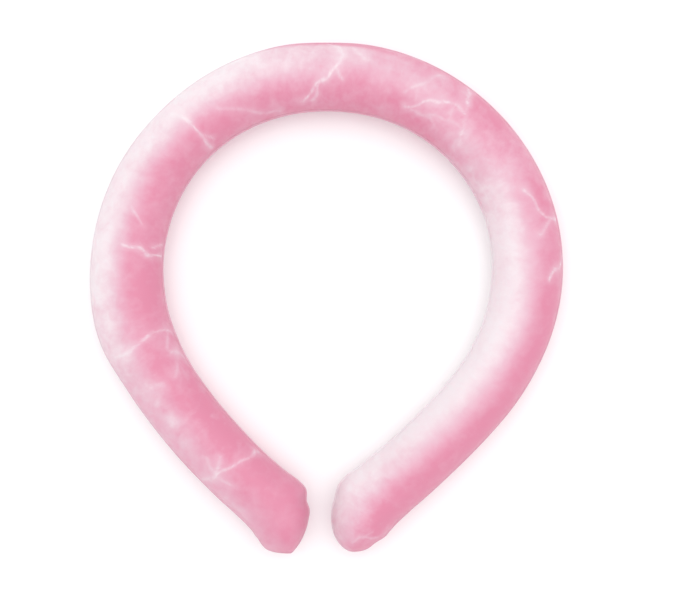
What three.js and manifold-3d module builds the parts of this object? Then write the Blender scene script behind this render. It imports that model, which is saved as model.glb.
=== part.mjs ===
// A cooling neck ring: a C-shaped tube of soft film, filled with a gel that freezes near room
// temperature. Two moulded half tubes of film, one above and one below, are welded together along a
// thin trimmed seam that runs round the whole outline, and the frozen gel lies in the tube between them.
// The ring lies flat. X runs across the neck, +Y is the nape and -Y the throat, where the ring opens.
// Z is up, and the ring rests at Z = 0. Sizes are in millimetres and angles in degrees.
import * as THREE from "three";
import { mergeVertices } from "three/addons/utils/BufferGeometryUtils.js";
import Module from "manifold-3d";

// The ring
const RING_RADIUS = 75.7; // of the tube's centreline, round the nape
const MOUTH_GAP = 8.2; // between the two tips, which spring apart to let the neck in
const MOUTH_OFFSET = -2.55; // the mouth's middle, across from the middle of the nape

// The tube
const TUBE_WIDTH = 25.2; // in the ring's plane, without the seam
const TUBE_HEIGHT = 23.6; // at right angles to the ring's plane
const TIP_LENGTH = 12.1; // the rounded end of each limb
const FILM = 1; // wall of each half tube
const SEAM_LIP = 0.5; // how far the trimmed weld stands out of the tube
const SEAM_HEIGHT = 1.4; // both films together at the weld
const CLEARANCE = 0.3; // between one half tube and the other, and between the film and the gel

// How finely the curves are cut into flat faces
const TUBE_SIDES = 20; // a multiple of 4, so that one flat side lies on the floor
const SECTION_STEP = 8.5; // the mean stretch of tube between two sections
const SECTION_CROWDING = 1.3; // over 1, the sections lie closer together towards the tips
const DOME_STEPS = 8; // sections round each tip

// How the mouth's gap is found by turning the nape
const MOST_EXTRA_TURN = 30;
const EXTRA_TURN_STEP = 1e-6;

// The two limbs, each from the middle of the nape to its tip.
// arcs: the centreline. Radii are shares of RING_RADIUS. A turn closes the ring, or opens it if negative.
// tipTurn: how far the rounded end turns in its own length.
// body: how full the tube is. at is a share of the limb's length, inner and outer are shares of half
//   of TUBE_WIDTH, towards the neck and away from it.
// dome: how the tip rounds off. angle runs from 0 at the very tip to 90 where the tube is whole, and
//   inner and outer are shares of a true dome's half width.
const RIGHT_LIMB = {
  side: 1,
  arcs: [
    { name: "nape", radius: 1, turn: 62 },
    { name: "side", radius: 0.91, turn: 50 },
    { name: "shoulder", radius: 1.14, turn: 18 },
    { name: "leg", radius: 2.9, turn: 11 },
    { name: "bend", radius: 0.75, turn: -20 },
  ],
  tipTurn: -30,
  body: [
    { at: 0, inner: 1.015, outer: 0.94 },
    { at: 0.06, inner: 1, outer: 0.985 },
    { at: 0.2, inner: 0.945, outer: 1.015 },
    { at: 0.34, inner: 0.955, outer: 1.025 },
    { at: 0.48, inner: 1.025, outer: 1.01 },
    { at: 0.6, inner: 1.01, outer: 0.95 },
    { at: 0.8, inner: 0.99, outer: 0.895 },
    { at: 0.89, inner: 1.01, outer: 0.92 },
    { at: 0.925, inner: 1.14, outer: 0.87 },
    { at: 0.952, inner: 0.955, outer: 0.82 },
    { at: 1, inner: 0.86, outer: 0.78 },
  ],
  dome: [
    { angle: 0, inner: 0.72, outer: 1.15 },
    { angle: 20, inner: 0.73, outer: 1.1 },
    { angle: 50, inner: 0.865, outer: 0.935 },
    { angle: 75, inner: 0.95, outer: 0.98 },
    { angle: 90, inner: 1, outer: 1 },
  ],
};
const LEFT_LIMB = {
  side: -1,
  arcs: [
    { name: "nape", radius: 0.98, turn: 101 },
    { name: "side", radius: 0.66, turn: 12.5 },
    { name: "shoulder", radius: 1.49, turn: 12 },
    { name: "leg", radius: 2.5, turn: 13.5 },
    { name: "bend", radius: 0.62, turn: -22 },
  ],
  tipTurn: -26,
  body: [
    { at: 0, inner: 1.015, outer: 0.94 },
    { at: 0.06, inner: 1, outer: 0.985 },
    { at: 0.24, inner: 0.935, outer: 0.99 },
    { at: 0.34, inner: 0.95, outer: 1.045 },
    { at: 0.44, inner: 0.98, outer: 1.08 },
    { at: 0.57, inner: 1.02, outer: 1.12 },
    { at: 0.65, inner: 0.95, outer: 0.99 },
    { at: 0.8, inner: 0.915, outer: 0.955 },
    { at: 0.89, inner: 0.9, outer: 0.965 },
    { at: 0.927, inner: 1.07, outer: 0.905 },
    { at: 0.943, inner: 0.89, outer: 0.865 },
    { at: 1, inner: 0.83, outer: 0.86 },
  ],
  dome: [
    { angle: 0, inner: 0.35, outer: 1.5 },
    { angle: 20, inner: 0.35, outer: 1.45 },
    { angle: 50, inner: 0.59, outer: 1.12 },
    { angle: 75, inner: 0.85, outer: 0.985 },
    { angle: 90, inner: 1, outer: 1 },
  ],
};

const radians = THREE.MathUtils.degToRad;
const middleHeight = TUBE_HEIGHT / 2;

// The value of one column of a table at a place along another, on a smooth curve through the rows.
function tableValue(rows, along, column, place) {
  const slope = (a, b) => (rows[b][column] - rows[a][column]) / (rows[b][along] - rows[a][along]);
  const last = rows.length - 1;
  const after = rows.findIndex((row) => row[along] >= place);
  const b = THREE.MathUtils.clamp(after < 0 ? last : after, 1, last);
  const a = b - 1;
  const run = rows[b][along] - rows[a][along];
  const t = THREE.MathUtils.clamp((place - rows[a][along]) / run, 0, 1);
  const leave = a > 0 ? slope(a - 1, b) : 0;
  const arrive = b < last ? slope(a, b + 1) : 0;
  return (
    rows[a][column] * (1 + 2 * t) * (1 - t) ** 2 +
    rows[b][column] * t * t * (3 - 2 * t) +
    run * (leave * t * (1 - t) ** 2 - arrive * t * t * (1 - t))
  );
}

// A limb's centreline as stretches of known length: its arcs, with the nape turned a little further
// than the table says, then the tip.
function stretches(limb, extraTurn) {
  const arcs = limb.arcs.map((arc, i) => {
    const turn = radians(arc.turn + (i === 0 ? extraTurn : 0));
    return { length: Math.abs(turn) * arc.radius * RING_RADIUS, turn };
  });
  return [...arcs, { length: TIP_LENGTH, turn: radians(limb.tipTurn) }];
}

function limbLength(limb, extraTurn) {
  return stretches(limb, extraTurn).reduce((sum, stretch) => sum + stretch.length, 0);
}

// The point at a distance along a limb, and the direction there away from the neck.
function centreline(limb, extraTurn, distance) {
  let heading = 0; // clockwise from +X, seen from above on the right limb
  let left = distance;
  const point = new THREE.Vector2(0, RING_RADIUS);
  for (const { length, turn } of stretches(limb, extraTurn)) {
    const run = Math.min(left, length);
    const turned = (turn * run) / length;
    const chord = turned === 0 ? run : (2 * run * Math.sin(turned / 2)) / turned;
    point.x += chord * Math.cos(heading + turned / 2);
    point.y -= chord * Math.sin(heading + turned / 2);
    heading += turned;
    left -= run;
  }
  point.x *= limb.side;
  return { point, outward: new THREE.Vector2(limb.side * Math.sin(heading), Math.cos(heading)) };
}

// The sections of a limb of a tube that lies inset inside the film's outer face, from the nape out.
function limbSections(limb, extraTurn, inset) {
  const whole = limbLength(limb, extraTurn);
  const straight = whole - TIP_LENGTH;
  const steps = Math.ceil(straight / SECTION_STEP);
  const section = (distance, angle) => {
    const round = Math.sin(radians(angle));
    const half = (side) => {
      const fullness = tableValue(limb.body, "at", side, distance / whole);
      const domeShare = tableValue(limb.dome, "angle", side, angle);
      return (fullness * domeShare * (TUBE_WIDTH / 2) - inset) * round;
    };
    return {
      ...centreline(limb, extraTurn, distance),
      inner: half("inner"),
      outer: half("outer"),
      rise: (middleHeight - inset) * round,
    };
  };
  const tube = Array.from({ length: steps }, (_, i) =>
    section(straight * (1 - (1 - i / steps) ** SECTION_CROWDING), 90),
  );
  const tip = Array.from({ length: DOME_STEPS + 1 }, (_, i) => {
    const angle = 90 * (1 - i / DOME_STEPS);
    return section(straight + (TIP_LENGTH - inset) * Math.cos(radians(angle)), angle);
  });
  return [...tube, ...tip];
}

// How far the limb's seam stays from the middle of the nape, sideways, at its nearest on the throat side.
function nearestToMouth(limb, extraTurn) {
  const throat = limbSections(limb, extraTurn, 0).filter(({ point }) => point.y < 0);
  const edges = throat.map(({ point, outward, inner }) => limb.side * (point.x - outward.x * inner));
  return Math.min(...edges) - SEAM_LIP;
}

// The extra turn of the nape that leaves half of the mouth's gap on this limb's side. It is found by
// halving a range whose ends surely leave too wide a gap and too narrow a one.
function turnForMouth(limb) {
  const wanted = MOUTH_GAP / 2 + limb.side * MOUTH_OFFSET;
  let tooWide = -MOST_EXTRA_TURN;
  let tooNarrow = MOST_EXTRA_TURN;
  while (tooNarrow - tooWide > EXTRA_TURN_STEP) {
    const turn = (tooWide + tooNarrow) / 2;
    if (nearestToMouth(limb, turn) > wanted) {
      tooWide = turn;
    } else {
      tooNarrow = turn;
    }
  }
  return (tooWide + tooNarrow) / 2;
}

const leftTurn = turnForMouth(LEFT_LIMB);
const rightTurn = turnForMouth(RIGHT_LIMB);

// All sections from the left tip round the nape to the right tip.
function ringSections(inset) {
  const left = limbSections(LEFT_LIMB, leftTurn, inset).reverse();
  const right = limbSections(RIGHT_LIMB, rightTurn, inset);
  return [...left.slice(0, -1), ...right];
}

// A closed tube through the sections, with a point at each tip. Its sides are flat, and those at the
// top, the bottom and the two edges lie as far out as the section's sizes say.
function tubeGeometry(sections) {
  const reach = 1 / Math.cos(Math.PI / TUBE_SIDES);
  const corners = Array.from({ length: TUBE_SIDES }, (_, k) => {
    const angle = ((k + 0.5) * 2 * Math.PI) / TUBE_SIDES;
    return { out: Math.cos(angle) * reach, up: Math.sin(angle) * reach };
  });
  const positions = [];
  const add = ({ point, outward }, out, up) => {
    positions.push(point.x + outward.x * out, point.y + outward.y * out, middleHeight + up);
  };
  const rings = sections.slice(1, -1);
  for (const section of rings) {
    for (const { out, up } of corners) {
      add(section, out * (out > 0 ? section.outer : section.inner), up * section.rise);
    }
  }
  const leftTip = positions.length / 3;
  add(sections[0], 0, 0);
  add(sections[sections.length - 1], 0, 0);
  const faces = [];
  for (let k = 0; k < TUBE_SIDES; k++) {
    const next = (k + 1) % TUBE_SIDES;
    faces.push(leftTip, next, k);
    for (let i = 0; i < rings.length - 1; i++) {
      const here = i * TUBE_SIDES;
      const there = here + TUBE_SIDES;
      faces.push(here + k, here + next, there + next, here + k, there + next, there + k);
    }
    const end = (rings.length - 1) * TUBE_SIDES;
    faces.push(end + k, end + next, leftTip + 1);
  }
  return new THREE.BufferGeometry()
    .setAttribute("position", new THREE.Float32BufferAttribute(positions, 3))
    .setIndex(faces);
}

// The plate whose edge is the trimmed weld: the ring's outline, grown by the lip.
function seamGeometry() {
  const sections = ringSections(0);
  const edge = (side, sign) => ({ point, outward, [side]: half }) =>
    point.clone().addScaledVector(outward, sign * half);
  const outerEdge = sections.map(edge("outer", 1));
  const innerEdge = sections.slice(1, -1).reverse().map(edge("inner", -1));
  const outline = [...outerEdge, ...innerEdge];
  const grown = outline.map((point, i) => {
    const before = outline[(i + outline.length - 1) % outline.length];
    const after = outline[(i + 1) % outline.length];
    const along = after.clone().sub(before).normalize();
    return new THREE.Vector2(point.x - along.y * SEAM_LIP, point.y + along.x * SEAM_LIP);
  });
  const plate = new THREE.ExtrudeGeometry(new THREE.Shape(grown), {
    depth: SEAM_HEIGHT,
    bevelEnabled: false,
  });
  return plate.translate(0, 0, middleHeight - SEAM_HEIGHT / 2);
}

const wasm = await Module();
wasm.setup();

function solidOf(geometry) {
  const bare = geometry.clone();
  bare.deleteAttribute("normal");
  bare.deleteAttribute("uv");
  const merged = mergeVertices(bare, 1e-4);
  const vertProperties = new Float32Array(merged.attributes.position.array);
  const triVerts = new Uint32Array(merged.index.array);
  return new wasm.Manifold(new wasm.Mesh({ numProp: 3, vertProperties, triVerts }));
}

function geometryOf(solid) {
  const { vertProperties, triVerts } = solid.getMesh();
  return new THREE.BufferGeometry()
    .setAttribute("position", new THREE.BufferAttribute(vertProperties, 3))
    .setIndex(new THREE.BufferAttribute(triVerts, 1));
}

// A block that holds all of the ring above the gap in the seam (side 1) or below it (side -1).
function halfSpace(side) {
  const width = 8 * (RING_RADIUS + TUBE_WIDTH);
  const block = new THREE.BoxGeometry(width, width, 2 * TUBE_HEIGHT);
  return solidOf(block.translate(0, 0, middleHeight + side * (TUBE_HEIGHT + CLEARANCE / 2)));
}

// The film above the seam or below it: half of the hollow tube, with its lip.
function halfTube(side) {
  const tube = solidOf(tubeGeometry(ringSections(0)));
  const hollow = solidOf(tubeGeometry(ringSections(FILM)));
  const closed = tube.add(solidOf(seamGeometry())).subtract(hollow);
  return geometryOf(closed.intersect(halfSpace(side)));
}

// The frozen gel, one block that fills the tube.
function gelCore() {
  return tubeGeometry(ringSections(FILM + CLEARANCE));
}

const filmMaterial = new THREE.MeshStandardMaterial({
  color: 0xee9fbd,
  roughness: 0.42,
  metalness: 0,
  transparent: true,
  opacity: 0.6,
});
const gelMaterial = new THREE.MeshStandardMaterial({ color: 0xf3c3d4, roughness: 0.6, metalness: 0 });

const pieces = [
  { name: "upper_film", geometry: halfTube(1), material: filmMaterial },
  { name: "lower_film", geometry: halfTube(-1), material: filmMaterial },
  { name: "gel_core", geometry: gelCore(), material: gelMaterial },
];

// The origin is on the floor, below the middle of the ring's outline.
const neckRing = new THREE.Group();
for (const { name, geometry, material } of pieces) {
  geometry.computeVertexNormals();
  const mesh = new THREE.Mesh(geometry, material);
  mesh.name = name;
  neckRing.add(mesh);
}
const middle = new THREE.Box3().setFromObject(neckRing).getCenter(new THREE.Vector3());
neckRing.position.set(-middle.x, -middle.y, 0);

export default neckRing;
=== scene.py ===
# Dresses the cooling neck ring: a C-shaped tube of soft film, filled with frozen gel.
# The ring lies flat on a pale floor and is seen from straight above, with the open throat below.
# Lengths are in millimetres until a mesh or a material is made, which is in metres.
import math

import bmesh
import bpy
import numpy as np
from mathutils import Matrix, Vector


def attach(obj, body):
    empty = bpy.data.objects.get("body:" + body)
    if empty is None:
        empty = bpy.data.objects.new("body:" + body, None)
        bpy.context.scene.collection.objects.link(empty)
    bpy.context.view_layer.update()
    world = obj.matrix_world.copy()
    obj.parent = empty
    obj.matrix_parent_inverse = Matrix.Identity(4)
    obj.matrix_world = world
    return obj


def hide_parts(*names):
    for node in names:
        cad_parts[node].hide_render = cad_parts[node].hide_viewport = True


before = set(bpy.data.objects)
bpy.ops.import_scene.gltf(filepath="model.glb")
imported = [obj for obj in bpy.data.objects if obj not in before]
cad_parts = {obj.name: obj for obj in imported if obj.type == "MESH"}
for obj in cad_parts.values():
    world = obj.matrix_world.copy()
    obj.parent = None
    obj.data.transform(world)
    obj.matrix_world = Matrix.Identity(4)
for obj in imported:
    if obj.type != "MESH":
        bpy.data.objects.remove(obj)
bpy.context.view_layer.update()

MM = 0.001

# The camera
LENS_MM = 100.0
SENSOR_MM = 36.0
FRAME_WIDTH_MM = 253.7  # what the view takes in from side to side, at the height of the weld
AIM_MM = (4.9, -3.5)

# The tube
RING_RADIUS = 75.7  # of the tube's centreline, round the nape
TUBE_WIDTH = 25.2
TUBE_HEIGHT = 23.6
TIP_LENGTH = 12.1
FILM = 1.0
GEL_CLEARANCE = 0.3
MID_HEIGHT = TUBE_HEIGHT / 2  # of the weld

# The trimmed weld between the two films
SEAM_LIP = 0.5
LIP_RISE = 0.7  # half of the lip's height
PARTING = 0.04  # half of the fine line between the two films
LIP_PROFILE = (
    # share of the lip's reach, height over the parting's middle
    (1.0, PARTING),
    (1.0, 0.36),
    (0.86, 0.58),
    (0.55, LIP_RISE),
    (0.22, LIP_RISE + 0.02),
)
WELD_BLEND = 0.1  # how softly the tube runs into the lip
WELD_TINT_REACH = 1.3  # how far over the weld the film is still thickened by it, and the painted edge shade reaches
WELD_MILK_AND_SHADE = 0.28  # how much of the film's own colour, greyed as painted shade along the edge, shows there

# Where the ring rests, the underside is pressed flat
FLOOR_SINK = 1.012
FLOOR_BLEND = 0.06

# How finely the surfaces are cut
STATION_STEP = 0.62
DOME_STATIONS = 44
ARC_STEPS = 62
INNER_ARC_STEPS = 16
GEL_ARC_STEPS = 72

# The two limbs, each from the middle of the nape to its tip. Each arc of the centreline has a radius,
# as a share of RING_RADIUS, and a turn in degrees. A row of body has a place along the limb and how
# full the tube is there, towards the neck and away from it. A row of dome has an angle, from 0 at the
# very tip to 90 where the tube is whole, and how full the rounded end is there, inside and outside.
RIGHT_LIMB = {
    "side": 1,
    "arcs": ((1, 61.91), (0.91, 50), (1.14, 18), (2.9, 11), (0.75, -20)),
    "tip_turn": -30,
    "body": (
        (0, 1.015, 0.94),
        (0.06, 1, 0.985),
        (0.2, 0.945, 1.015),
        (0.34, 0.955, 1.025),
        (0.48, 1.025, 1.01),
        (0.6, 1.01, 0.95),
        (0.8, 0.99, 0.895),
        (0.89, 1.01, 0.92),
        (0.925, 1.14, 0.87),
        (0.952, 0.955, 0.82),
        (1, 0.86, 0.78),
    ),
    "dome": ((0, 0.72, 1.15), (20, 0.73, 1.1), (50, 0.865, 0.935), (75, 0.95, 0.98), (90, 1, 1)),
}
LEFT_LIMB = {
    "side": -1,
    "arcs": ((0.98, 101.08), (0.66, 12.5), (1.49, 12), (2.5, 13.5), (0.62, -22)),
    "tip_turn": -26,
    "body": (
        (0, 1.015, 0.94),
        (0.06, 1, 0.985),
        (0.24, 0.935, 0.99),
        (0.34, 0.95, 1.045),
        (0.44, 0.98, 1.08),
        (0.57, 1.02, 1.12),
        (0.65, 0.95, 0.99),
        (0.8, 0.915, 0.955),
        (0.89, 0.9, 0.965),
        (0.927, 1.07, 0.905),
        (0.943, 0.89, 0.865),
        (1, 0.83, 0.86),
    ),
    "dome": ((0, 0.35, 1.5), (20, 0.35, 1.45), (50, 0.59, 1.12), (75, 0.85, 0.985), (90, 1, 1)),
}

# The film's relief: soft swells, small dimples, and puckers along the weld
SWELL_DEPTH = 0.16
SWELL_LENGTHS = (16, 42)
DIMPLE_DEPTH = 0.035
DIMPLE_LENGTHS = (5, 11)
SWELL_FLATNESS = 0.7  # under 1, so that swells and dimples stay full until close to the weld
PUCKER_DEPTH = 0.06
PUCKER_SPACING = 3.1
PUCKER_HEIGHT = 1.6  # over the weld, where the puckers are deepest
PUCKER_REACH = 2.6
PUCKER_DRIFT = (1.3, 7.3)  # how unevenly the puckers are spaced: radians, and over what length
PUCKER_LULLS = (0.45, 11.7)  # how much weaker they get in places: share, and over what length
RELIEF_FADE = 6  # the tube's half height below which the relief dies out, towards the tips

# The gel's marbling, with a painted highlight in it. Along is measured from the middle of the nape, and is
# negative on the left limb.
# outer and inner say how pink the gel is at the tube's two edges, from 0, all frost and painted highlight, to
# 1.
# border is where the one turns into the other, across the tube from 1, the outer edge, to -1.
# blur is how far the change reaches to each side, and mottle how strongly the frost clouds it.
# The pale band lies on the tube's left side all round, outside on the left limb and inside on the right: it
# is partly frost and partly a painted highlight, where the tube's side faces the light from the upper left.
FROST_AND_HIGHLIGHT_BANDS = (
    # along, outer, inner, border, blur, mottle
    (-243, 0.86, 1.0, 0.5, 0.4, 0.45),
    (-222, 0.76, 0.97, 0.35, 0.55, 0.6),
    (-195, 0.76, 0.98, 0.2, 0.6, 1.0),
    (-172, 0.62, 0.95, 0.12, 0.6, 1.0),
    (-152, 0.5, 0.94, 0.2, 0.5, 1.0),
    (-132, 0.25, 0.94, 0.17, 0.5, 0.9),
    (-112, 0.14, 0.95, 0.22, 0.5, 0.8),
    (-92, 0.12, 0.95, 0.2, 0.5, 0.8),
    (-72, 0.13, 0.93, 0.14, 0.55, 0.8),
    (-52, 0.14, 0.95, 0.12, 0.55, 0.8),
    (-30, 0.15, 0.92, 0.1, 0.65, 0.9),
    (-8, 0.4, 0.92, 0.0, 0.5, 1.0),
    (10, 0.52, 0.96, 0.05, 0.5, 1.0),
    (30, 0.64, 0.93, -0.15, 0.5, 1.1),
    (48, 0.78, 0.8, -0.35, 0.5, 1.2),
    (62, 0.9, 0.62, 0.2, 0.55, 1.2),
    (76, 0.82, 0.42, 0.15, 0.55, 1.0),
    (92, 0.94, 0.24, 0.05, 0.55, 0.8),
    (112, 0.94, 0.1, 0.0, 0.6, 0.7),
    (135, 1.0, 0.04, 0.0, 0.65, 0.6),
    (165, 1.0, 0.02, -0.12, 0.7, 0.55),
    (195, 0.98, 0.04, -0.26, 0.7, 0.6),
    (220, 0.97, 0.1, -0.26, 0.65, 0.9),
    (234, 0.93, 0.3, -0.3, 0.7, 1.1),
    (243, 1.0, 0.5, -0.3, 0.6, 1.0),
)
UNDERSIDE_WANDER = (0.18, 17)  # of the border on the underside: how far, and over what length
# Painted shade: a pinker, darker rim along the outer edge round the nape, where a shadow line lies along it
PAINTED_SHADE_RIMS = (
    # along, how pink the painted shade makes it, how far across
    (-26, 0.0, 0.06),
    (-17, 0.3, 0.12),
    (-4, 0.5, 0.16),
    (9, 0.8, 0.2),
    (22, 0.3, 0.3),
    (45, 0.25, 0.35),
    (60, 0.1, 0.3),
    (75, 0.0, 0.2),
)
# Single clouds of frost, and pinker places where the gel stayed clear of it
PATCHES = (
    # how much pinker, along, degrees round, reach along, reach round
    (-0.12, -236, 66, 4, 4),
    (-0.2, -213, 36, 9, 3),
    (0.12, -200, 118, 9, 5),
    (-0.12, -197, 56, 4.5, 4.5),
    (-0.24, -185, 60, 5, 4),
    (-0.36, -173, 66, 3.4, 3.4),
    (-0.18, -163, 70, 4, 4),
    (-0.3, -152, 150, 2.6, 2.6),
    (0.12, -122, 130, 10, 4),
    (-0.1, 11, 54, 5, 3),
    (-0.14, 27, 66, 4, 3),
    (-0.16, 35, 74, 4, 3.4),
    (-0.12, 40, 36, 1.8, 4),
    (0.16, 47, 156, 8, 3.5),
    (-0.1, 54, 130, 6, 4),
    (0.16, 57, 26, 6, 4),
    (-0.08, 58, 104, 7, 4.5),
    (0.16, 93, 53, 6, 3),
    (-0.12, 98, 66, 10, 3),
    (-0.08, 220, 100, 4, 4),
    (-0.1, 229, 94, 2.5, 4.5),
    (0.14, 236, 46, 5, 4),
)
# Fine cracks that frost has grown along. Their points are a distance along and degrees round the tube,
# where 0 is the outer edge, 90 the top and 180 the inner edge.
CRACKS = (
    # strength, width, points
    (0.75, 1.05, ((1, 22), (4.4, 36), (5.3, 56), (2.4, 85), (-1.3, 101), (-5.5, 120), (-10, 140))),
    (0.6, 0.7, ((-2.6, 108), (-3.6, 121), (-6.2, 141))),
    (0.5, 0.9, ((3.9, 85), (6, 102))),
    (0.45, 1.3, ((8, 30), (10, 48), (14, 62))),
    (0.7, 0.9, ((-55, 71), (-54.6, 100), (-54.6, 124), (-55, 156))),
    (0.5, 0.8, ((-54.4, 110), (-51.8, 142))),
    (0.4, 1.0, ((-43, 98), (-34.6, 122), (-28.6, 145), (-20.7, 154))),
    (0.8, 0.8, ((-105.5, 84), (-106.4, 108), (-107.8, 122), (-109, 134), (-108, 170))),
    (0.55, 0.7, ((-105, 138), (-103.6, 164))),
    (0.45, 1.0, ((-91.4, 85), (-95.5, 99), (-97, 108))),
    (0.65, 0.9, ((-144, 40), (-144, 74), (-142, 104), (-141, 121), (-143, 162))),
    (0.5, 1.1, ((-144, 148), (-150, 131), (-155.5, 169))),
    (0.4, 1.0, ((-157, 137), (-160.5, 119))),
    (0.45, 1.1, ((-157.4, 66), (-160.9, 93))),
    (0.62, 1.0, ((-198.2, 60), (-200.7, 103), (-203.4, 162))),
    (0.6, 1.1, ((-198.2, 60), (-195.1, 89))),
    (0.42, 1.0, ((-198.2, 60), (-204.6, 66))),
    (0.34, 1.1, ((-198.2, 60), (-191.2, 72))),
    (0.5, 0.9, ((-198.2, 60), (-195.6, 22))),
    (0.6, 0.9, ((32.6, 121), (37, 108), (40.3, 91), (44.4, 79), (49, 72), (52.3, 73))),
    (0.78, 1.0, ((48.8, 18), (50.3, 48), (51.6, 59))),
    (0.3, 1.0, ((51.6, 59), (53.1, 72), (55.1, 88))),
    (0.6, 1.0, ((55.1, 88), (57.1, 107))),
    (0.3, 1.0, ((57.1, 107), (59.3, 124))),
    (0.4, 0.9, ((35.5, 123), (41.2, 117), (46.5, 124))),
    (0.4, 1.0, ((41.2, 117), (49.8, 100), (56.3, 100))),
    (0.4, 1.2, ((29.7, 94), (33.6, 80), (36.5, 61), (38.9, 34))),
    (0.35, 0.9, ((48.1, 75), (49.8, 100))),
    (0.7, 0.9, ((86.7, 72), (93.4, 62), (98.3, 49), (99.4, 14))),
    (0.6, 1.0, ((99.3, 41), (103.5, 68))),
    (0.7, 0.9, ((111, 2), (114.5, 28), (116.1, 47), (119.2, 57))),
    (0.4, 0.9, ((239.5, 96), (236.9, 85), (235.4, 68), (234.7, 40))),
    (0.3, 0.8, ((236.2, 76), (232.5, 62))),
)
CRACK_SPREAD = 0.85  # of a crack's bright middle, as a share of its width
CRACK_HALO = 0.42  # how bright the frost beside a crack is
CRACK_HALO_SPREAD = 2.3
CRACK_WHITENESS = (0.44, 1.04)  # where the feathers of frost are thin and where they are thick
CRACK_WANDER = (
    # how far a crack's line wanders off its points: reach, waves in a mm along, waves round the tube
    (0.3, 0.9, 6),
    (0.25, 0.4, -8),
)
CRACK_FARTHEST = 6  # beyond which a crack leaves no frost
# The cracks' shapes are used again on the underside: how far along they are moved, and the side
CRACK_USES = ((0, 1), (37.0, -1), (-81.4, -1))

# Fields of noise that cloud the bands. The frost's real needles are finer than a pixel, so the finest
# are drawn coarser here. Those along the tube are stretched, so that they run across it as brushed.
CLOUDS = (
    # size, how strong, roughness of the noise
    (14.0, 0.34, 0.55),
    (6.0, 0.34, 0.6),
    (3.0, 0.18, 0.55),
    (1.1, 0.07, 0.5),
)
STREAKS = (
    # size, how strong, roughness of the noise
    (4.2, 0.22, 0.6),
    (1.8, 0.12, 0.6),
)
STREAK_STRETCH = 0.5
FIELD_DISTORTION = 0.6  # how far the noise is swirled, as frost is where it met other frost
FEATHER_RANGE = (0.3, 0.7)  # of the finest streaks, from where a crack's frost is thin to thick

# The frozen gel's colour, from all frost, which also serves for the painted highlight, to clear pink gel
GEL_COLOURS = (
    (0.0, "#E8DFE3"),
    (0.15, "#E6D6DC"),
    (0.5, "#DCB3C2"),
    (0.68, "#DAA2B6"),
    (1.0, "#D5839E"),
)
WELD_AND_EDGE_SHADE_COLOUR = "#DAD3D9"  # of the milky film, with no gel behind it, greyed as painted shade along the tube's edge

# The floor and the light
FLOOR_HALF = 1600.0
FLOOR_DROP = 0.1
SKY_STRENGTH = 1.0
SOFTBOX_PLACE = (0.1, 0.25, 1.2)
SOFTBOX_SIZE = 1.4
SOFTBOX_POWER = 5.5


def make_camera():
    """Looks straight down on the ring."""
    lens = bpy.data.cameras.new("camera")
    lens.lens = LENS_MM
    lens.sensor_width = SENSOR_MM
    camera = bpy.data.objects.new("camera", lens)
    height = FRAME_WIDTH_MM * LENS_MM / SENSOR_MM + MID_HEIGHT
    camera.location = (AIM_MM[0] * MM, AIM_MM[1] * MM, height * MM)
    bpy.context.scene.collection.objects.link(camera)
    bpy.context.scene.camera = camera


make_camera()


# The ring's shape


def smooth_curve(rows, column, places):
    """The values of a table's column at the places, on a smooth curve through its rows."""
    rows = np.array(rows, float)
    at, value = rows[:, 0], rows[:, column]
    slopes = np.zeros(len(at))
    slopes[1:-1] = (value[2:] - value[:-2]) / (at[2:] - at[:-2])
    places = np.clip(np.asarray(places, float), at[0], at[-1])
    b = np.clip(np.searchsorted(at, places), 1, len(at) - 1)
    a = b - 1
    run = at[b] - at[a]
    t = (places - at[a]) / run
    return (
        value[a] * (1 + 2 * t) * (1 - t) ** 2
        + value[b] * t * t * (3 - 2 * t)
        + run * (slopes[a] * t * (1 - t) ** 2 - slopes[b] * t * t * (1 - t))
    )


def limb_stretches(limb):
    """The arcs of a limb's centreline and then its tip, each as a length and a turn in radians."""
    arcs = [(radius * RING_RADIUS, math.radians(turn)) for radius, turn in limb["arcs"]]
    tip = (TIP_LENGTH, math.radians(limb["tip_turn"]))
    return [(abs(turn) * radius, turn) for radius, turn in arcs] + [tip]


def limb_length(limb):
    """From the middle of the nape to the tip, along the centreline."""
    return sum(length for length, _ in limb_stretches(limb))


def centreline(limb, distance):
    """The point at a distance along a limb, and the direction there away from the neck."""
    heading, left = 0.0, distance
    x, y = 0.0, RING_RADIUS
    for length, turn in limb_stretches(limb):
        run = min(left, length)
        turned = turn * run / length
        chord = 2 * run * math.sin(turned / 2) / turned if turned else run
        x += chord * math.cos(heading + turned / 2)
        y -= chord * math.sin(heading + turned / 2)
        heading += turned
        left -= run
    side = limb["side"]
    return (x * side, y), (side * math.sin(heading), math.cos(heading))


def limb_sections(limb, inset):
    """Rows of x, y, outward x and y, inner and outer half width, half height, distance from the nape."""
    whole = limb_length(limb)
    straight = whole - TIP_LENGTH
    steps = math.ceil(straight / STATION_STEP)
    stations = [(straight * i / steps, 90.0) for i in range(steps)]
    for i in range(DOME_STATIONS + 1):
        angle = 90.0 * (1 - i / DOME_STATIONS)
        stations.append((straight + (TIP_LENGTH - inset) * math.cos(math.radians(angle)), angle))
    distances, angles = np.array(stations).T
    roundness = np.sin(np.radians(angles))

    def half_width(column):
        """The tube's half width on one side, which is a column of the tables."""
        fullness = smooth_curve(limb["body"], column, distances / whole)
        fullness *= smooth_curve(limb["dome"], column, angles)
        return (fullness * TUBE_WIDTH / 2 - inset) * roundness

    rise = (MID_HEIGHT - inset) * roundness
    places = [centreline(limb, d) for d in distances]
    points = np.array([p for p, _ in places])
    outward = np.array([o for _, o in places])
    columns = (points, outward, half_width(1), half_width(2), rise, limb["side"] * distances)
    return np.column_stack(columns)


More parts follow.
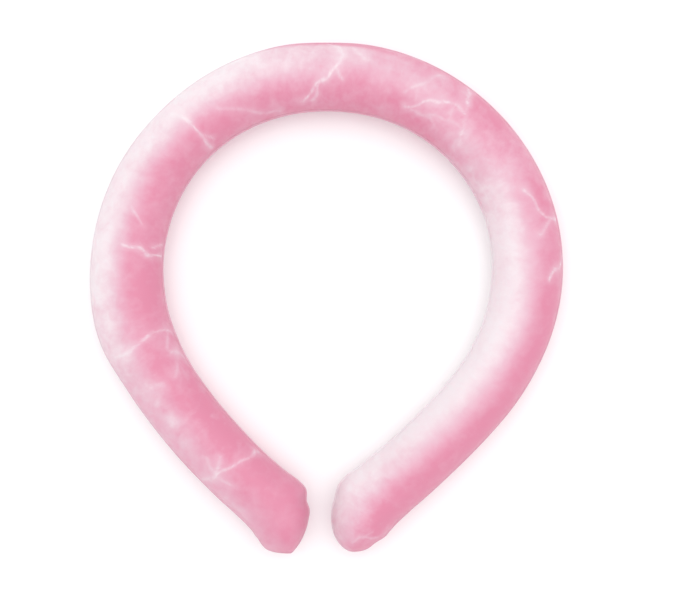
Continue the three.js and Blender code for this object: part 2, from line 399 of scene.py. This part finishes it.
def ring_sections(inset):
    """The sections from the left tip round the nape to the right tip."""
    left = limb_sections(LEFT_LIMB, inset)[::-1]
    return np.vstack([left[:-1], limb_sections(RIGHT_LIMB, inset)])


def outline_normals(line, sign):
    """The direction away from the tube, in the floor's plane, along one edge of the outline."""
    along = np.gradient(line, axis=0)
    length = np.linalg.norm(along, axis=1)
    length[length < 1e-9] = 1
    along /= length[:, None]
    return np.column_stack([-along[:, 1], along[:, 0]]) * sign


def soft_max(value, floor, blend):
    """The larger of the two, with the corner between them rounded off."""
    return floor + blend * np.logaddexp(0, (value - floor) / blend)


# The film's relief

relief_random = np.random.default_rng(11)


def waves(count, lengths):
    """Waves over the tube's surface: direction and wavelength together, and the phase of each."""
    sizes = relief_random.uniform(*lengths, count)
    turns = relief_random.uniform(0, math.pi, count)
    phases = relief_random.uniform(0, 2 * math.pi, count)
    return np.column_stack([np.cos(turns) / sizes, np.sin(turns) / sizes, phases])


SWELLS = waves(9, SWELL_LENGTHS)
DIMPLES = waves(12, DIMPLE_LENGTHS)


def height_of(table, along, around):
    """The height of a table's waves at places on the surface."""
    total = sum(np.sin(2 * math.pi * (along * kx + around * ky) + phase) for kx, ky, phase in table)
    return total / math.sqrt(len(table))


def relief(along, angle, fade):
    """How far the film stands out at a distance along and an angle round the tube."""
    around = angle * TUBE_WIDTH / 2
    over_weld = abs(math.sin(angle)) * MID_HEIGHT
    free = abs(math.sin(angle)) ** SWELL_FLATNESS
    bulge = SWELL_DEPTH * height_of(SWELLS, along, around)
    bulge += DIMPLE_DEPTH * height_of(DIMPLES, along, around)
    drift, drift_length = PUCKER_DRIFT
    lull, lull_length = PUCKER_LULLS
    pucker = np.sin(2 * math.pi * along / PUCKER_SPACING + drift * np.sin(along / drift_length))
    pucker *= 1 - lull + lull * np.sin(along / lull_length + 1)
    pucker *= PUCKER_DEPTH * math.exp(-(((over_weld - PUCKER_HEIGHT) / PUCKER_REACH) ** 2))
    return fade * (free * bulge + pucker)


# The gel's marbling, with a painted highlight and painted shade in its colour


def eased(share):
    """Runs from 0 to 1 with a soft start and end."""
    share = np.clip(share, 0, 1)
    return share * share * (3 - 2 * share)


def pinkness_and_painted_light(along, angle):
    """How pink the gel is at each place, from 0, all frost, to 1. The pale band is partly a painted
    highlight, and the rims are painted shade.
    """
    across = np.cos(angle)
    outer, inner, border, blur = (smooth_curve(FROST_AND_HIGHLIGHT_BANDS, column, along) for column in (1, 2, 3, 4))
    wander, wander_length = UNDERSIDE_WANDER
    border = border + np.where(angle < 0, wander * np.sin(along / wander_length), 0)
    pink = outer + (inner - outer) * eased((border - across) / (2 * blur) + 0.5)
    # The rims darken the outer edge round the nape as painted shade.
    rim_shade, reach = (smooth_curve(PAINTED_SHADE_RIMS, column, along) for column in (1, 2))
    pink += rim_shade * eased((across - 1 + reach) / reach)
    for change, at, degrees, reach_along, reach_round in PATCHES:
        around = (np.abs(angle) - math.radians(degrees)) * TUBE_WIDTH / 2
        pink += change * np.exp(-(((along - at) / reach_along) ** 2) - (around / reach_round) ** 2)
    return np.clip(pink, 0, 1)


def crack_frost(along, angle):
    """How strongly frost has grown along a crack at each place."""
    frost = np.zeros(len(along))
    wander = sum(
        far * np.sin(along * waves_on + angle * waves_round)
        for far, waves_on, waves_round in CRACK_WANDER
    )
    place = np.column_stack([along + wander, angle * TUBE_WIDTH / 2 + wander])
    for shift, side in CRACK_USES:
        for strength, width, points in CRACKS:
            line = np.array([(at + shift, side * math.radians(d) * TUBE_WIDTH / 2) for at, d in points])
            near = np.abs(along - line[:, 0].mean()) < np.ptp(line[:, 0]) / 2 + CRACK_FARTHEST
            near &= angle * side >= 0
            if not near.any():
                continue
            here = place[near]
            gap = np.full(len(here), np.inf)
            for a, b in zip(line[:-1], line[1:]):
                stretch = b - a
                t = np.clip((here - a) @ stretch / (stretch @ stretch), 0, 1)
                gap = np.minimum(gap, np.linalg.norm(here - a - t[:, None] * stretch, axis=1))
            middle = np.exp(-((gap / (width * CRACK_SPREAD)) ** 2))
            halo = CRACK_HALO * np.exp(-((gap / (width * CRACK_HALO_SPREAD)) ** 2))
            frost[near] = np.maximum(frost[near], strength * np.maximum(middle, halo))
    return frost


# The meshes


def marbling(along, rise, angle):
    """The values that the finishes read, at each corner of a loft."""
    # In the rounded tips the marbling runs straight on, and doesn't close in on the tip's point.
    whole = (rise / rise.max())[:, None]
    angle = np.copysign(np.arccos(np.cos(angle) * whole), angle)
    run = np.repeat(along, angle.shape[1])
    angle = angle.ravel()
    return {
        "pinkness_and_painted_light": pinkness_and_painted_light(run, angle),
        "crack": crack_frost(run, angle),
        "mottle": smooth_curve(FROST_AND_HIGHLIGHT_BANDS, 5, run),
        "tube_place": np.column_stack([run, angle * TUBE_WIDTH / 2, np.zeros(len(run))]) * MM,
    }


def loft(name, places, values, flip):
    """A smooth mesh through closed loops of points, one loop for each station of the tube."""
    rows, columns = places.shape[:2]
    i, k = np.meshgrid(np.arange(rows - 1), np.arange(columns), indexing="ij")
    after = (k + 1) % columns
    quads = [i * columns + k, i * columns + after, (i + 1) * columns + after, (i + 1) * columns + k]
    faces = np.stack(quads[::-1] if flip else quads, -1).reshape(-1, 4)
    mesh = bpy.data.meshes.new(name)
    mesh.from_pydata((places.reshape(-1, 3) * MM).tolist(), [], faces.tolist())
    for label, value in values.items():
        if value.ndim == 2:
            layer = mesh.attributes.new(label, "FLOAT_VECTOR", "POINT")
            layer.data.foreach_set("vector", value.astype(np.float32).ravel())
        else:
            layer = mesh.attributes.new(label, "FLOAT", "POINT")
            layer.data.foreach_set("value", value.astype(np.float32))
    shape = bmesh.new()
    shape.from_mesh(mesh)
    bmesh.ops.remove_doubles(shape, verts=shape.verts, dist=1e-7)
    bmesh.ops.dissolve_degenerate(shape, edges=shape.edges, dist=1e-8)
    for face in shape.faces:
        face.smooth = True
    shape.to_mesh(mesh)
    shape.free()
    lofted = bpy.data.objects.new(name, mesh)
    bpy.context.scene.collection.objects.link(lofted)
    return lofted


def edge_line(x, y, ox, oy, half, sign):
    """One edge of the tube's outline, and the direction away from the tube along it."""
    line = np.column_stack([x + sign * ox * half, y + sign * oy * half])
    return line, outline_normals(line, sign)


def film_half(side):
    """The film above the weld (side 1) or below it (side -1), with its half of the trimmed lip."""
    x, y, ox, oy, inner, outer, rise, along = ring_sections(0).T
    outer_edge, outer_normal = edge_line(x, y, ox, oy, outer, 1)
    inner_edge, inner_normal = edge_line(x, y, ox, oy, inner, -1)
    fade = np.minimum(1, rise / RELIEF_FADE)
    loops, angles, welds = [], [], []

    def add(position, height, angle, weld):
        """Adds one line of points that runs along the whole tube."""
        z = MID_HEIGHT + side * np.broadcast_to(height, len(position))
        loops.append(np.column_stack([position, z]))
        angles.append(np.full(len(position), side * angle))
        welds.append(np.full(len(position), WELD_MILK_AND_SHADE * weld))

    for reach, height in LIP_PROFILE:
        add(outer_edge + outer_normal * SEAM_LIP * reach, height, 0.0, 1.0)
    for step in range(ARC_STEPS + 1):
        angle = math.pi * step / ARC_STEPS
        half = outer if angle < math.pi / 2 else inner
        stand = relief(along, side * angle, fade)
        out = half * math.cos(angle) + stand * math.cos(angle)
        height = soft_max((rise + stand) * math.sin(angle), LIP_RISE, WELD_BLEND)
        if side < 0:
            height = MID_HEIGHT - soft_max(MID_HEIGHT - height * FLOOR_SINK, 0, FLOOR_BLEND)
        weld = max(0.0, 1 - MID_HEIGHT * math.sin(angle) / WELD_TINT_REACH)
        add(np.column_stack([x + ox * out, y + oy * out]), height, angle, weld)
    for reach, height in reversed(LIP_PROFILE):
        add(inner_edge + inner_normal * SEAM_LIP * reach, height, math.pi, 1.0)
    x, y, ox, oy, inner, outer, inner_rise, _ = ring_sections(FILM).T
    for step in range(INNER_ARC_STEPS + 1):
        angle = math.pi * (1 - step / INNER_ARC_STEPS)
        out = (outer if angle < math.pi / 2 else inner) * math.cos(angle)
        height = np.maximum(inner_rise * math.sin(angle), PARTING)
        add(np.column_stack([x + ox * out, y + oy * out]), height, angle, 0.0)
    values = marbling(along, rise, np.stack(angles, 1))
    values["weld"] = np.stack(welds, 1).ravel()
    return np.stack(loops, 1), values


def gel_block():
    """The frozen gel, from tip to tip."""
    x, y, ox, oy, inner, outer, rise, along = ring_sections(FILM + GEL_CLEARANCE).T
    loops, angles = [], []
    for step in range(GEL_ARC_STEPS):
        angle = 2 * math.pi * step / GEL_ARC_STEPS
        out = (outer if math.cos(angle) > 0 else inner) * math.cos(angle)
        loops.append(np.column_stack([x + ox * out, y + oy * out, MID_HEIGHT + rise * math.sin(angle)]))
        angles.append(np.full(len(x), angle if angle <= math.pi else angle - 2 * math.pi))
    values = marbling(along, rise, np.stack(angles, 1))
    values["weld"] = np.zeros(len(values["crack"]))
    return np.stack(loops, 1), values


upper_places, upper_values = film_half(1)
lower_places, lower_values = film_half(-1)
gel_places, gel_values = gel_block()
outline = upper_places[..., :2].reshape(-1, 2)
outline_middle = (outline.min(0) + outline.max(0)) / 2
for places in (upper_places, lower_places, gel_places):
    places[..., :2] -= outline_middle
upper_film_shell = loft("upper_film_shell", upper_places, upper_values, True)
lower_film_shell = loft("lower_film_shell", lower_places, lower_values, False)
frozen_gel_fill = loft("frozen_gel_fill", gel_places, gel_values, True)


# The finishes


def linear(hex_colour):
    """An sRGB hex colour as linear RGBA."""
    channels = [int(hex_colour[i : i + 2], 16) / 255 for i in (1, 3, 5)]
    return tuple(c / 12.92 if c <= 0.04045 else ((c + 0.055) / 1.055) ** 2.4 for c in channels) + (1.0,)


def add_node(tree, kind, links=None, **settings):
    """A node with its settings. links gives each input its value, or the output that feeds it."""
    node = tree.nodes.new(kind)
    for name, value in settings.items():
        setattr(node, name, value)
    for name, value in (links or {}).items():
        socket = node.inputs[name]
        if isinstance(value, bpy.types.NodeSocket):
            tree.links.new(value, socket)
        else:
            socket.default_value = value
    return node


def new_material(name):
    """A material without any nodes yet."""
    material = bpy.data.materials.new(name)
    material.use_nodes = True
    material.node_tree.nodes.clear()
    return material


def clearness_and_painted_light(tree):
    """How clear of frost the gel is, from its bands, with their painted highlight and shade, clouds, streaks
    and cracks, and the finest streaks.
    """
    spot = add_node(tree, "ShaderNodeTexCoord").outputs["Object"]
    place = add_node(tree, "ShaderNodeAttribute", attribute_name="tube_place").outputs["Vector"]
    stretched = add_node(
        tree, "ShaderNodeVectorMath", {0: place, 1: (1.0, STREAK_STRETCH, 1.0)}, operation="MULTIPLY"
    )
    fields = [(spot, *row) for row in CLOUDS]
    fields += [(stretched.outputs["Vector"], *row) for row in STREAKS]
    total = -sum(strength for _, _, strength, _ in fields) / 2
    for where, size, strength, roughness in fields:
        noise = add_node(
            tree,
            "ShaderNodeTexNoise",
            {
                "Vector": where,
                "Scale": 1 / (size * MM),
                "Roughness": roughness,
                "Distortion": FIELD_DISTORTION,
            },
        )
        total = add_node(
            tree, "ShaderNodeMath", {0: noise.outputs["Fac"], 1: strength, 2: total}, operation="MULTIPLY_ADD"
        ).outputs[0]
    finest = noise.outputs["Fac"]
    mottle = add_node(tree, "ShaderNodeAttribute", attribute_name="mottle").outputs["Fac"]
    pink = add_node(tree, "ShaderNodeAttribute", attribute_name="pinkness_and_painted_light").outputs["Fac"]
    clouded = add_node(tree, "ShaderNodeMath", {0: total, 1: mottle, 2: pink}, operation="MULTIPLY_ADD")

    # Frost along a crack is feathery, so the finest streaks break it up.
    crack = add_node(tree, "ShaderNodeAttribute", attribute_name="crack").outputs["Fac"]
    (start, end), (thin, thick) = FEATHER_RANGE, CRACK_WHITENESS
    feathers = add_node(
        tree,
        "ShaderNodeMapRange",
        {"Value": finest, "From Min": start, "From Max": end, "To Min": -thin, "To Max": -thick},
    )
    kept = add_node(
        tree,
        "ShaderNodeMath",
        {0: crack, 1: feathers.outputs["Result"], 2: 1.0},
        operation="MULTIPLY_ADD",
        use_clamp=True,
    )
    clear = add_node(
        tree, "ShaderNodeMath", {0: clouded.outputs[0], 1: kept.outputs[0]}, operation="MULTIPLY"
    )
    return clear.outputs[0], finest


def marbled_colour_and_painted_light(tree):
    """The marbled gel's colour, with its painted highlight and shade, paler over the weld, and the finest
    streaks of frost.
    """
    clear, finest = clearness_and_painted_light(tree)
    ramp = add_node(tree, "ShaderNodeValToRGB", {"Fac": clear})
    stops = ramp.color_ramp.elements
    while len(stops) < len(GEL_COLOURS):
        stops.new(0.5)
    for stop, (position, colour) in zip(stops, GEL_COLOURS):
        stop.position = position
        stop.color = linear(colour)
    # Over the weld the colour turns milky and greyish: partly the film itself, partly painted shade along the
    # tube's edge.
    weld = add_node(tree, "ShaderNodeAttribute", attribute_name="weld").outputs["Fac"]
    welded = add_node(
        tree,
        "ShaderNodeMix",
        {"Factor": weld, "A": ramp.outputs["Color"], "B": linear(WELD_AND_EDGE_SHADE_COLOUR)},
        data_type="RGBA",
    )
    return welded.outputs["Result"], finest


def film_over_gel():
    """Matte TPU film, moulded in a lightly blasted tool: a dull, milky skin with soft wide highlights,
    through which the gel's marbling shows a little blurred. The film lies tight on the gel, so its own
    surface carries the gel's colours, with the highlight and shade painted into them."""
    material = new_material("moulded_tpu_film_over_gel")
    tree = material.node_tree
    colour, streaks = marbled_colour_and_painted_light(tree)
    spot = add_node(tree, "ShaderNodeTexCoord").outputs["Object"]
    # The tool's grain is about 0.1 mm, and is drawn five times as coarse to show at all.
    grain = add_node(tree, "ShaderNodeTexNoise", {"Vector": spot, "Scale": 1 / (0.5 * MM)})
    bump = add_node(
        tree, "ShaderNodeBump", {"Height": grain.outputs["Fac"], "Strength": 0.12, "Distance": 0.04 * MM}
    )
    rough = add_node(tree, "ShaderNodeMapRange", {"Value": streaks, "To Min": 0.4, "To Max": 0.52})
    shader = add_node(
        tree,
        "ShaderNodeBsdfPrincipled",
        {
            "Base Color": colour,
            "Roughness": rough.outputs["Result"],
            "IOR": 1.5,
            "Normal": bump.outputs["Normal"],
            "Subsurface Weight": 0.15,
            "Subsurface Radius": (1.0, 0.5, 0.6),
            "Subsurface Scale": 0.8 * MM,
        },
    )
    add_node(tree, "ShaderNodeOutputMaterial", {"Surface": shader.outputs["BSDF"]})
    return material


def frozen_gel():
    """Phase-change gel, frozen slowly in the tube: waxy and dense, marbled where frost grew in it, with the
    same painted highlight and shade in its colour as the film.
    """
    material = new_material("frozen_gel")
    tree = material.node_tree
    colour, streaks = marbled_colour_and_painted_light(tree)
    bump = add_node(tree, "ShaderNodeBump", {"Height": streaks, "Strength": 0.3, "Distance": 0.2 * MM})
    shader = add_node(
        tree,
        "ShaderNodeBsdfPrincipled",
        {
            "Base Color": colour,
            "Roughness": 0.6,
            "IOR": 1.43,
            "Normal": bump.outputs["Normal"],
            "Subsurface Weight": 0.5,
            "Subsurface Radius": (1.0, 0.5, 0.6),
            "Subsurface Scale": 3 * MM,
        },
    )
    add_node(tree, "ShaderNodeOutputMaterial", {"Surface": shader.outputs["BSDF"]})
    return material


film = film_over_gel()
gel = frozen_gel()
for piece, node, finish, slot in (
    (upper_film_shell, "upper_film", film, "film"),
    (lower_film_shell, "lower_film", film, "film"),
    (frozen_gel_fill, "gel_core", gel, "gel"),
):
    piece.data.materials.append(finish)
    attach(piece, "root")
    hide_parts(node)


# The floor and the light


def make_floor():
    """A plain pale studio floor, matte painted board."""
    material = new_material("white_studio_floor")
    tree = material.node_tree
    shader = add_node(tree, "ShaderNodeBsdfPrincipled", {"Base Color": linear("#FDFDFD"), "Roughness": 0.6})
    add_node(tree, "ShaderNodeOutputMaterial", {"Surface": shader.outputs["BSDF"]})
    half = FLOOR_HALF * MM
    corners = [(-half, -half, 0), (half, -half, 0), (half, half, 0), (-half, half, 0)]
    mesh = bpy.data.meshes.new("floor")
    mesh.from_pydata(corners, [], [(0, 1, 2, 3)])
    mesh.materials.append(material)
    floor = bpy.data.objects.new("floor", mesh)
    floor.location.z = -FLOOR_DROP * MM
    bpy.context.scene.collection.objects.link(floor)


def make_light():
    """Flat light from all round, and one large softbox overhead for a soft shadow."""
    world = bpy.data.worlds.new("studio")
    world.use_nodes = True
    sky = world.node_tree.nodes["Background"]
    sky.inputs["Color"].default_value = linear("#FFFFFF")
    sky.inputs["Strength"].default_value = SKY_STRENGTH
    bpy.context.scene.world = world
    lamp = bpy.data.lights.new("overhead_softbox", "AREA")
    lamp.shape = "SQUARE"
    lamp.size = SOFTBOX_SIZE
    lamp.energy = SOFTBOX_POWER
    softbox = bpy.data.objects.new("overhead_softbox", lamp)
    softbox.location = SOFTBOX_PLACE
    softbox.rotation_euler = (-Vector(SOFTBOX_PLACE)).to_track_quat("-Z", "Y").to_euler()
    bpy.context.scene.collection.objects.link(softbox)


make_floor()
make_light()
bpy.context.scene.view_settings.view_transform = "Standard"
bpy.context.scene.view_settings.look = "None"
